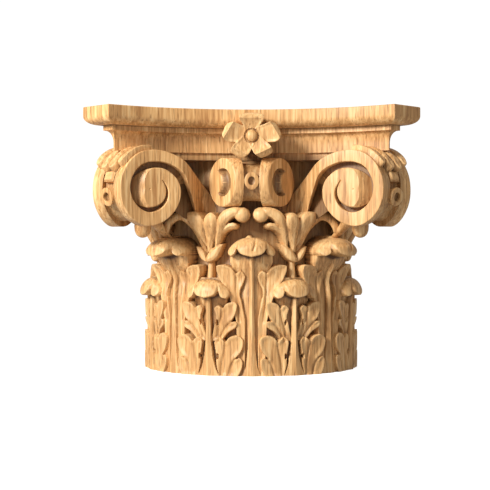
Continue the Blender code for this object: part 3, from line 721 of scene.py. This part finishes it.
# Corner scrolls
# A pair stands back to back under each horn. Each is a flat band that springs from behind the
# centre scroll, climbs to the abacus and winds in to a bevelled eye, with a deep channel cut between.
SCROLL_RADIUS = 35 * MM
SCROLL_EYE_ALONG = 94 * MM
SCROLL_RIM = 12.2 * MM
SCROLL_SINK = 8.5 * MM
SCROLL_ARRIS = 0.9 * MM
EYE_BEVEL = 11 * MM
SCROLL_EYE_Z = FASCIA_BOTTOM - SCROLL_RADIUS
EYE_DEEP = 0.8
EYE_CORE = 0.2 * MM
BAND_STEPS = 240
EYE_STEPS = 160
CHANNEL_STEPS = 120
BAND_START = -125
CHANNEL_END = 306
CHANNEL_SHARE = 0.93
CHANNEL_SHADE = 0.8
RIM_SHADE = 0.35
ARRIS_HIGHLIGHT = -0.25
SPIRAL_BLUR = 8
WEB_STEPS = 110
WEB_START = -80
WEB_END = 235
WEB_OUTER = 0.86
WEB_INNER = 0.15
WEB_DIP = 0.06
WEB_SHADE = 0.3
BAND_OUTER = (
    (-125, 84), (-110, 71), (-95, 62.1), (-86, 55.6), (-73, 48.8), (-62, 44.6), (-47, 40.9), (-30, 38),
    (-8, 35.6), (12, 34.4), (49, 30.8), (69, 30), (89, 29.5), (131, 30.8), (174, 33.5), (219, 30.9),
    (267, 29.5), (285, 28.2), (303, 25.4), (323, 23), (341, 20.3), (366, 17.7), (395, 16.3), (467, 16.9),
    (547, 16.3), (595, 16.6), (640, 15), (666, 14.3),
)
BAND_INNER = (
    (-125, 60), (-110, 48), (-87, 38), (-71, 36.3), (-56, 32.9), (-42, 29.8), (-15, 25.5), (4, 24),
    (24, 22.7), (51, 20.3), (87, 19.3), (111, 18.9), (138, 19.2), (183, 20.9), (229, 19.6), (262, 17.8),
    (282, 16), (306, 14.3),
)
STEM_SINK = 30 * MM
STEM_START = 30 * MM
STEM_RUN = 28 * MM


def on_side(along, z, inset):
    """Place (along, z, inset) on the hollow front: arc length from its middle, and depth behind it."""
    turn = along / SIDE_RADIUS
    reach = SIDE_RADIUS + inset
    return np.stack([reach * np.sin(turn), AXIS_Y - SIDE_CENTRE + reach * np.cos(turn), z], axis=-1)


def scroll_face(u, v, inset):
    """On the scroll's face, from its eye: u towards the horn, v up. The stem sinks towards the bell."""
    u, v, inset = np.broadcast_arrays(u, v, inset)
    sink = STEM_SINK * ramp_up(-u, STEM_START, STEM_START + STEM_RUN)
    return on_side(SCROLL_EYE_ALONG + u, SCROLL_EYE_Z + v, inset + sink)


def spiral(table, turns):
    """The radius at each turn past the top, smoothed between the table's points."""
    angles, radii = zip(*table)
    wide = np.linspace(-SPIRAL_BLUR, SPIRAL_BLUR, 9)
    return np.mean([np.interp(turns + w, angles, radii) for w in wide], axis=0) * MM


def band(first, last, outer, inner, steps, bevel=0):
    """Rings across the band: up its outer wall, over its face and down the inner wall.

    Its edges are quarter circles. A bevel makes the outer one a chamfer, wide on the side of the horn.
    """
    turns = np.linspace(first, last, steps)
    wide, narrow = outer(turns)[:, None], inner(turns)[:, None]
    angle = np.radians(turns)[:, None]
    quarter = np.linspace(0, HALF_TURN, 8)
    soft = SCROLL_ARRIS + bevel * np.maximum(0, np.sin(angle))
    deep = SCROLL_ARRIS + EYE_DEEP * bevel * np.maximum(0, np.sin(angle))
    inward, outward = 1 - np.cos(quarter), 1 - np.sin(quarter)
    if bevel:
        inward, outward = quarter / HALF_TURN, 1 - quarter / HALF_TURN
    nothing = np.zeros_like(angle)
    rim = nothing + SCROLL_RIM
    back_in = SCROLL_ARRIS * (1 - np.cos(quarter[::-1]))
    back_down = SCROLL_ARRIS * (1 - np.sin(quarter[::-1]))
    middle = (wide - soft + narrow + SCROLL_ARRIS) / 2
    radius = np.concatenate([wide, wide - soft * inward, middle, narrow + back_in, narrow], axis=1)
    inset = np.concatenate([rim, deep * outward, nothing, nothing + back_down, rim], axis=1)
    return scroll_face(radius * np.sin(angle), radius * np.cos(angle), inset), inset


def mirror_corner(points):
    """The same points at the corner's other scroll: x and the distance from the back change places."""
    return np.stack([AXIS_Y - points[..., 1], AXIS_Y - points[..., 0], points[..., 2]], axis=-1)


def mirror_front(points):
    """The same points on the capital's other half."""
    return points * np.array([-1, 1, 1])


def corner_scroll():
    """The band, the eye and the channel's floor of one scroll, as rings with their hollow values."""
    strips = []
    for name, first, last, inner, steps, bevel in (
            ("band", BAND_START, CHANNEL_END, lambda t: spiral(BAND_INNER, t), BAND_STEPS, 0),
            ("eye", CHANNEL_END, CHANNEL_END + 360, lambda t: 0 * t + EYE_CORE, EYE_STEPS, EYE_BEVEL)):
        strip, inset = band(first, last, lambda t: spiral(BAND_OUTER, t), inner, steps, bevel)
        # Painted shade on the band's deep walls, and a painted highlight on its arrises
        shade = np.where(inset > 3 * MM, RIM_SHADE, np.where(inset > 0.2 * MM, ARRIS_HIGHLIGHT, 0.0))
        strips.append((name, strip, shade))
    share = np.array([CHANNEL_SHARE, CHANNEL_SHARE, 0.0, 0.0])
    behind = SCROLL_RIM - 0.5 * MM
    inset = np.array([behind, SCROLL_SINK, SCROLL_SINK, behind])
    turns = np.linspace(BAND_START, BAND_START + 360, CHANNEL_STEPS)
    radius = spiral(BAND_OUTER, turns)[:, None] * share[None, :] + 0.1 * MM
    angle = np.radians(turns)[:, None]
    floor = scroll_face(radius * np.sin(angle), radius * np.cos(angle), inset[None, :])
    # Painted shade darkens the channel's floor
    strips.append(("channel", floor, np.full(floor.shape[:2], CHANNEL_SHADE)))
    return strips


def web():
    """The waist between a corner's two scrolls: straight lines from one outline to its mirror image."""
    turns = np.linspace(WEB_START, WEB_END, WEB_STEPS)
    angle = np.radians(turns)
    across = np.linspace(0, 1, 11)
    rings = []
    for share, weights in ((WEB_OUTER, across), (WEB_INNER, across[::-1])):
        for w in weights:
            dip = 1 - WEB_DIP * math.sin(math.pi * w)
            radius = spiral(BAND_OUTER, turns) * share * dip
            face = scroll_face(radius * np.sin(angle), radius * np.cos(angle), SCROLL_RIM - 1 * MM)
            rings.append((1 - w) * face + w * mirror_corner(face))
    return np.stack(rings, axis=1)


scrolls, saddle = corner_scroll(), web()
for side_name, flip in (("right", False), ("left", True)):
    for face_name, at_side in (("front", False), ("side", True)):
        for name, rings, shade in scrolls:
            points = mirror_corner(rings) if at_side else rings
            points = mirror_front(points) if flip else points
            swept("scroll_%s_%s_%s" % (name, face_name, side_name), points, shade)
    points = mirror_front(saddle) if flip else saddle
    # Painted shade darkens the web between the two scrolls
    swept("scroll_web_" + side_name, points, np.full(points.shape[:2], WEB_SHADE))

# Corner trims
# What fills the corner between two scrolls: a leaf draped over their top, a strap, an oval ring, and
# below them a bud and the tip of the leaf that bears the corner.
ROLL_REACH = 154.8 * MM
ROLL_RADIUS = 33
DRAPE = (
    ((0, -7), (20, -7)),
    ((20, -7), (20.5, 6), (20, 18), (18.5, 26), (15.8, 29), (12.6, 27.4), (10.6, 22.5)),
    ((10.6, 22.5), (9.6, 29), (6.2, 33), (2.4, 31.5), (0, 26)),
    ((0, 26), (-4, 26)),
    ((-4, 26), (-4, -7)),
    ((-4, -7), (0, -7)),
)
DRAPE_VALLEYS = (
    ((10.6, 22.5), (10.4, 12), (9.5, -8)),
    ((0, 26), (0, 12), (0, -8)),
)
DRAPE_HALF = 22
DRAPE_ARC = (-8, 35)
DRAPE_GRID = 0.5
DRAPE_TAPER = 0.22
DRAPE_TAPER_ARC = (22, 32)
DRAPE_OUT = 3.2
LOBE_WIDTH = 10.5
LOBE_SWELL = 2.4
DRAPE_FALL = 1.4
DRAPE_FALL_ARC = (20, 34)
STRAP = (5.6, 32.5, 42.5)
STRAP_OUT = -1.2
RING = (60, 8.3, 9.6)
ANNULUS = (
    (1, -8), (1, -0.7), (0.97, -0.2), (0.9, 0), (0.54, 0), (0.49, -0.3), (0.47, -2.2), (0.44, -3.8),
    (0.3, -4.2), (0.05, -4.2),
)
ROUND_STEPS = 64
# Painted shade in the hole of each ring: its inner rings are darkened
HOLE_SHARE = 0.48
HOLE_DARK = 0.6
HOLE_SHADE = np.repeat([HOLE_DARK * (share < HOLE_SHARE) for share, out in ANNULUS], ROUND_STEPS)
TRIM_SIDES = 40
TRIM_BACK = -9 * MM
BUD = ((145, 7.2), (137, 7.8), (133, 7.4), (130, 6.2), (128, 4.4), (126.9, 2.2), (126.6, 0.4))
BUD_REACH = 141
TIP = ((119, 3.0, 98), (124, 3.4, 105), (129, 4.2, 112), (134, 5.4, 119), (139, 6.8, 125), (145, 7.6, 130))


def on_roll(across, arc, out):
    """Over the corner's roll: sideways, an arc length past its top, and how far it stands off it."""
    across, arc, out = np.broadcast_arrays(across, arc, out)
    turn = arc / (ROLL_RADIUS * MM)
    radius = spiral(BAND_OUTER, np.degrees(turn)) + out
    ridge = polar(ROLL_REACH + radius * np.sin(turn), CORNER_TURN, SCROLL_EYE_Z + radius * np.cos(turn))
    x, y, z = np.moveaxis(ridge, -1, 0)
    return np.stack([x + across * math.cos(CORNER_TURN), y + across * math.sin(CORNER_TURN), z], axis=-1)


def turned(place, middle, half_u, half_v, profile, first=0, last=360):
    """Ellipses about a middle, one for each (share, out) of a profile; half a turn closes on its chord."""
    whole_turn = last - first == 360
    angle = np.radians(np.linspace(first, last, ROUND_STEPS, endpoint=not whole_turn))
    share, out = np.array(profile).T[:, :, None]
    u = middle[0] + half_u * share * np.cos(angle)
    v = middle[1] + half_v * share * np.sin(angle)
    return place(u * MM, v * MM, out * MM)


def corner_trims():
    """Name and rings or grids of each trim at the right corner."""
    across = np.arange(-DRAPE_HALF, DRAPE_HALF + DRAPE_GRID / 2, DRAPE_GRID)
    u, v = np.meshgrid(across, np.arange(*DRAPE_ARC, DRAPE_GRID))
    u = u * (1 - DRAPE_TAPER * ramp_up(v, *DRAPE_TAPER_ARC))
    side = np.abs(u)
    lobes = np.abs(np.sin(math.pi * np.clip(side, 0, 2 * LOBE_WIDTH) / LOBE_WIDTH)) ** 0.7
    swell = LOBE_SWELL * lobes - DRAPE_FALL * ramp_up(v, *DRAPE_FALL_ARC)
    drape = lobed(side, v, DRAPE, DRAPE_OUT + swell, DRAPE_VALLEYS)
    carved_pieces = [("drape", u, v, drape)]
    half, low, high = STRAP
    u, v = np.meshgrid(np.linspace(-half - 1, half + 1, 22), np.linspace(low - 1, high + 1, 22))
    inside = np.minimum(half - np.abs(u), np.minimum(v - low, high - v))
    carved_pieces.append(("strap", u, v, plate(inside, STRAP_OUT + 0 * u, arris=1.4)))
    arc, wide, tall = RING
    rounds = [("ring", turned(on_roll, (0, arc), wide, tall, ANNULUS), HOLE_SHADE)]
    angle = np.linspace(0, 2 * math.pi, TRIM_SIDES, endpoint=False)
    for name, table in (("bud", [(z, r, BUD_REACH) for z, r in BUD]), ("tip", TIP)):
        z, radius, reach = np.array(table).T[:, :, None] * MM
        spot = polar(reach, CORNER_TURN, z)
        ring = np.stack([spot[..., 0] + radius * np.cos(angle), spot[..., 1] + radius * np.sin(angle),
                         z + 0 * angle], axis=-1)
        rounds.append((name, ring, None))
    return carved_pieces, rounds


grids, rounds = corner_trims()
for side_name, flip in (("right", False), ("left", True)):
    def at_corner(across, arc, out):
        points = on_roll(across, arc, out)
        return mirror_front(points) if flip else points

    for name, u, v, out in grids:
        carved("corner_%s_%s" % (name, side_name), at_corner, u * MM, v * MM, out * MM, back=TRIM_BACK)
    for name, points, shade in rounds:
        swept("corner_%s_%s" % (name, side_name), mirror_front(points) if flip else points, shade)

# Centre scrolls
# A small pair back to back in the middle of each side, each with its face turned well away from the
# front. The face is flush but for a crescent cut round its eye, and a ring sits on the waist. The
# hole of a half ring is drawn a little towards the front.
HELIX_RADIUS = 22.3
HELIX_REACH = 122
HELIX_GAP = 14.8
HELIX_INNER = 6.8
HELIX_FLARE = 0.18
HELIX_TURN = math.radians(56)
HELIX_Z = FASCIA_BOTTOM / MM - 5.5 - HELIX_RADIUS
HELIX_WAIST = 0.78
HELIX_WALLS = ((1.0, 0.12), (1.0, 0.5), (1.0, 0.9), (0.985, 1.0), (0.86, 1.0), (HELIX_WAIST, 1.0))
HELIX_NECK = ((HELIX_WAIST, 0.75), (HELIX_WAIST - 0.02, 0.4), (HELIX_WAIST - 0.02, 0.0))
HELIX_STEPS = 132
HELIX_FLAT = 0.955
HELIX_ROUNDED = 0.045
NECK_SHADE = 0.45
CRESCENT = (-1.0, 14.1, 12.9)
HELIX_EYE = (10.4, 10.4)
CRESCENT_DEPTH = 6.0
CRESCENT_SHADE = 0.7
KNOT = (6.6, 8.0)
KNOT_RISE = 0.5
HOLE_FIRST = 5
HOLE_SHORT = 0.6 * MM


def centre_scroll():
    """Rings from the eye out over the face, round its edge, back along the rim and in to the waist."""
    angle = np.linspace(0, 2 * math.pi, HELIX_STEPS, endpoint=False)
    rounded = 1 - HELIX_ROUNDED * (1 - np.sin(np.linspace(0.2, 1, 4) * HALF_TURN))
    share = np.concatenate([np.linspace(0.01, HELIX_FLAT, 44), rounded])
    u, v = HELIX_RADIUS * share[:, None] * np.cos(angle), HELIX_RADIUS * share[:, None] * np.sin(angle)
    middle, wide, tall = CRESCENT
    hole = (1 - np.sqrt(((u - middle) / wide) ** 2 + (v / tall) ** 2)) * tall
    eye, radius = HELIX_EYE
    outside = np.sqrt((u - eye) ** 2 + v ** 2) - radius
    cut = CRESCENT_DEPTH * ramp_up(hole, 0, 0.7) * ramp_up(outside, 0, 0.9)
    edge = HELIX_RADIUS * np.clip(share - HELIX_FLAT, 0, 1)[:, None]
    round_off = 1.0 - np.sqrt(np.maximum(0, 1 - np.minimum(edge, 1) ** 2))
    back = cut + round_off
    along = HELIX_RADIUS + u
    x = HELIX_GAP + along * math.cos(HELIX_TURN) - back
    far = HELIX_REACH - along * math.sin(HELIX_TURN)
    rings = [np.stack([x, far, HELIX_Z + v], axis=-1)]
    # Painted shade in the crescent cut
    hollow = [np.where(cut > 1, CRESCENT_SHADE, 0.0)]
    for table, inward in ((HELIX_WALLS, True), (HELIX_NECK, False)):
        share, way = np.array(table).T[:, :, None]
        u, v = HELIX_RADIUS * share * np.cos(angle), HELIX_RADIUS * share * np.sin(angle)
        along = HELIX_RADIUS + u
        face = HELIX_GAP + along * math.cos(HELIX_TURN)
        inner = HELIX_INNER + along * HELIX_FLARE
        x = face + (inner - face) * way if inward else inner * way
        rings.append(np.stack([x, HELIX_REACH - along * math.sin(HELIX_TURN), HELIX_Z + v], axis=-1))
        # Painted shade on the walls and waist inside the rim
        hollow.append(np.where(share + 0 * u < 0.9, NECK_SHADE, 0.0))
    points = np.concatenate(rings) * MM
    points[..., 1] = AXIS_Y - points[..., 1]
    return points, np.concatenate(hollow)


def on_front(u, v, out):
    """Place (u, v, out) upright on the front: sideways, up, and a distance from the axis."""
    u, v, out = np.broadcast_arrays(u, v, out)
    return np.stack([u, AXIS_Y - out, v], axis=-1)


def on_flank(u, v, out):
    """The same on the right side, whose half that is kept lies towards the front."""
    return mirror_corner(on_front(u, v, out))


scroll, hollow = centre_scroll()
turned_scroll = mirror_corner(scroll)
for name, points in (("front_right", scroll), ("front_left", mirror_front(scroll)),
                     ("side_right", turned_scroll), ("side_left", mirror_front(turned_scroll))):
    swept("centre_scroll_" + name, points, hollow)
rim = [(share, HELIX_REACH + out) for share, out in ANNULUS]
middle = (0, HELIX_Z + KNOT_RISE)
swept("knot_front", turned(on_front, middle, *KNOT, rim), HOLE_SHADE)
flank = turned(on_flank, middle, *KNOT, rim, -90, 90)
flank[HOLE_FIRST:, :, 1] -= HOLE_SHORT
swept("knot_right", flank, HOLE_SHADE)
swept("knot_left", mirror_front(flank), HOLE_SHADE)

# Rosettes
# Five petals and a boss in the middle of each side of the abacus. Each petal dips, rises to a crest
# and falls back at its lip, and the whole flower narrows towards its root.
ROSETTE_Z = 218.3
ROSETTE_REACH = 126
ROSETTE_GRID = 0.45
ROSETTE_WIDE = (-27.45, 27.5)
ROSETTE_TALL = (-21.15, 23.5)
ROSETTE_GROUND = -40.0
ROSETTE_THICK = 8
ROSETTE_ROOT = 84
ROSETTE_BACK = 80 * MM
PETALS = (
    ((-6, 1), (-7.4, 8.6), (-11, 14.5), (-10.6, 19), (-5, 22.2), (5, 22.2), (10.6, 19), (11.2, 14.5),
     (7.4, 8.6), (6, 1), (0, -4)),
    ((4, 8), (11, 10.4), (16, 12.3), (21, 11.6), (24.4, 8.8), (25.7, 4.8), (26.8, 1), (25.4, -3),
     (22, -5.6), (17, -6.1), (12, -6.2), (5, -6), (-3, 0)),
    ((8, 0), (12.6, -4.4), (16.8, -8.6), (19, -13), (17.7, -17), (12, -20.2), (7, -19.9), (2.4, -16.6),
     (0.4, -13.2), (-3, -6), (-2, 3)),
)
CREASES = ((90, 15.8), (31, 20.6), (-64.5, 17.3))
CREST = 7.6
PETAL_DIP = 2.4
PETAL_CURVE = 2.6
LIP_FALL = 1.15
EDGE_RISE = 0.9
EDGE_WIDTHS = (0.4, 3.0)
CENTRE_DISC = (9.6, 3.0)
BOSS = (5.4, 6.8)
BOSS_RING_OUT = 2.0
BOSS_OUT = 2.2
BOSS_ROUND = 0.75
UNDERCUT = ((78, 0.62), (106, 0.74), (121, 1.0))


def undercut(place):
    """Narrow the rosette towards its root: each point nears its middle by a share that grows with depth."""
    def narrowed(u, v, out):
        share = np.interp(out / MM, *zip(*UNDERCUT))
        return place(u * share, ROSETTE_Z * MM + (v - ROSETTE_Z * MM) * share, out)
    return narrowed


def rosette():
    """(u, v, out) over a rosette in mm about its boss.

    Each petal dips from the middle and rises ever steeper to a crest, beyond which its lip falls back.
    """
    u, v = np.meshgrid(np.arange(*ROSETTE_WIDE, ROSETTE_GRID), np.arange(*ROSETTE_TALL, ROSETTE_GRID))
    from_middle = np.sqrt(u ** 2 + v ** 2)
    disc, height = CENTRE_DISC
    out = np.where(from_middle < disc, height, ROSETTE_GROUND)
    for petal, (axis, crest) in zip(PETALS, CREASES):
        line = stroke(petal + petal[:1])[:-1]
        for side in (1,) if axis == 90 else (1, -1):
            inside = depth_inside(side * u, v, line)
            way = side * u * math.cos(math.radians(axis)) + v * math.sin(math.radians(axis))
            dish = PETAL_DIP + (CREST - PETAL_DIP) * np.clip(way / crest, 0, 1) ** PETAL_CURVE
            edge = EDGE_RISE * (1 - ramp_up(inside, *EDGE_WIDTHS)) * (way < crest)
            top = dish - LIP_FALL * np.maximum(0, way - crest) + edge
            fall = 1 - np.sqrt(1 - (1 - np.clip(inside, 0, 1)) ** 2)
            out = np.maximum(out, np.where(inside > 0, top - fall, ROSETTE_GROUND))
    boss, ring = BOSS
    out = np.where(from_middle < ring, np.minimum(out, BOSS_RING_OUT), out)
    swell = BOSS_OUT + np.sqrt(np.maximum(0, boss ** 2 - from_middle ** 2)) * BOSS_ROUND
    out = np.where(from_middle < boss, np.maximum(out, swell), out)
    out = np.maximum(out + ROSETTE_REACH - ROSETTE_THICK, ROSETTE_ROOT)
    return u * MM, (v + ROSETTE_Z) * MM, out * MM


flower = rosette()
carved("rosette_front", undercut(on_front), *flower, back=ROSETTE_BACK)
half_flower = [grid[:, grid.shape[1] // 2:] for grid in flower]
for name, place in (("right", on_flank), ("left", lambda u, v, out: mirror_front(on_flank(u, v, out)))):
    carved("rosette_" + name, undercut(place), *half_flower, back=ROSETTE_BACK)

# Floor, light and camera
# A white floor that runs into a white surround, one soft key from the upper left, and a camera
# level with the middle of the capital, where the photograph was taken from.
CAMERA_AWAY = 1.2
CAMERA_X = -6 * MM
CAMERA_Z = 120 * MM
FLOOR_COLOUR = (0.5, 0.5, 0.5, 1)
FLOOR_HALF = 0.8
FLOOR_GLOW = 0.86
BACKDROP_GLOW = 1.05
SKY = 0.42
SKY_COLOUR = (1, 0.985, 0.96, 1)
KEY = 33
KEY_SPOT = (-0.98, -1.00, 0.80)
KEY_AIM = (0, 0, 0.12)
KEY_SIZE = 0.40
LENS = 88.2
SENSOR = 36


def for_camera(tree, usual, seen, output):
    """Send camera rays to one shader, and every other ray to the usual one."""
    rays = tree.nodes.new("ShaderNodeLightPath")
    either = tree.nodes.new("ShaderNodeMixShader")
    tree.links.new(rays.outputs["Is Camera Ray"], either.inputs[0])
    tree.links.new(usual.outputs[0], either.inputs[1])
    tree.links.new(seen.outputs[0], either.inputs[2])
    tree.links.new(either.outputs[0], output.inputs["Surface"])


def area_light(name, spot, aim, size, power):
    """A square soft light at a spot, turned to its aim."""
    light = bpy.data.lights.new(name, "AREA")
    light.size = size
    light.energy = power
    thing = bpy.data.objects.new(name, light)
    thing.location = spot
    way = np.array(aim) - np.array(spot)
    flat = math.hypot(way[0], way[1])
    thing.rotation_euler = (math.pi / 2 + math.atan2(way[2], flat), 0, math.atan2(-way[0], way[1]))
    bpy.context.scene.collection.objects.link(thing)


floor_mesh = bpy.data.meshes.new("floor")
corners = [(x * FLOOR_HALF, y * FLOOR_HALF, 0) for x, y in ((-1, -1), (1, -1), (1, 1), (-1, 1))]
floor_mesh.from_pydata(corners, [], [(0, 1, 2, 3)])
floor = bpy.data.objects.new("floor", floor_mesh)
bpy.context.scene.collection.objects.link(floor)
paint = bpy.data.materials.new("pale_floor")
paint.use_nodes = True
nodes, links = paint.node_tree.nodes, paint.node_tree.links
plain = nodes["Principled BSDF"]
plain.inputs["Base Color"].default_value = FLOOR_COLOUR
plain.inputs["Roughness"].default_value = 0.9
plain.inputs["Specular IOR Level"].default_value = 0
glow = nodes.new("ShaderNodeEmission")
glow.inputs["Strength"].default_value = FLOOR_GLOW
both = nodes.new("ShaderNodeAddShader")
links.new(plain.outputs[0], both.inputs[0])
links.new(glow.outputs[0], both.inputs[1])
for_camera(paint.node_tree, plain, both, nodes["Material Output"])
floor_mesh.materials.append(paint)

world = bpy.data.worlds.new("studio")
bpy.context.scene.world = world
world.use_nodes = True
nodes = world.node_tree.nodes
around = nodes["Background"]
around.inputs["Color"].default_value = SKY_COLOUR
around.inputs["Strength"].default_value = SKY
backdrop = nodes.new("ShaderNodeBackground")
backdrop.inputs["Strength"].default_value = BACKDROP_GLOW
backdrop.inputs["Color"].default_value = (1, 1, 1, 1)
for_camera(world.node_tree, around, backdrop, nodes["World Output"])
area_light("key", KEY_SPOT, KEY_AIM, KEY_SIZE, KEY)
bpy.context.scene.view_settings.view_transform = "Standard"

camera = bpy.data.objects.new("camera", bpy.data.cameras.new("camera"))
camera.data.lens = LENS
camera.data.sensor_width = SENSOR
camera.location = (CAMERA_X, AXIS_Y - CAMERA_AWAY, CAMERA_Z)
camera.rotation_euler = (math.pi / 2, 0, 0)
bpy.context.scene.collection.objects.link(camera)
bpy.context.scene.camera = camera
